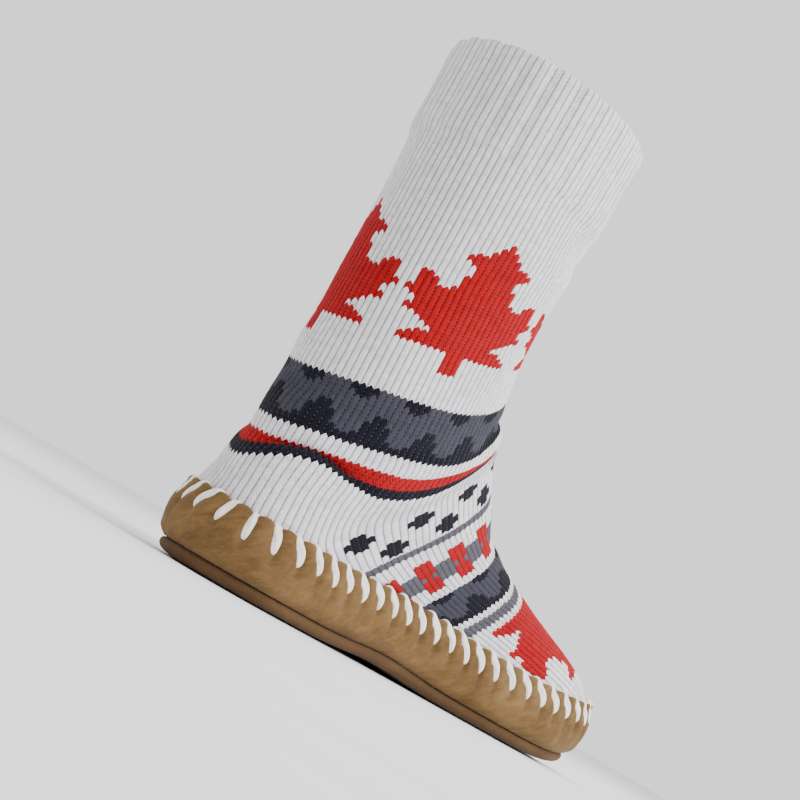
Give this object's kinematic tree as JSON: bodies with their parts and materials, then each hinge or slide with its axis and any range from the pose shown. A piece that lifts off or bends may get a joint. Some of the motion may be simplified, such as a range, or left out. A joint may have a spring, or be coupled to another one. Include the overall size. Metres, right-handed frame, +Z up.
{
  "type": "slipper boot",
  "caption": "Left knitted slipper boot: tall patterned sock with a soft padded sole and a suede side wall, joined by whip stitches.",
  "frame": {"origin": "on the floor under the middle of the whole boot's box", "axes": "+Z up, -Y to the toe, +Y to the heel, -X to the inner side of the left foot"},
  "size_m": [0.101, 0.2508, 0.24],
  "materials": {
    "knit": "thick white jacquard knit with red, navy and grey bands",
    "suede": "tan suede with a soft nap",
    "sole_cloth": "brown sole cloth with small grip dots",
    "fleece": "off-white fleece"
  },
  "bodies": {
    "root": {"upper": "knit", "side_wall": "suede", "outsole": "sole_cloth", "insole": "fleece"}
  },
  "joints": []
}
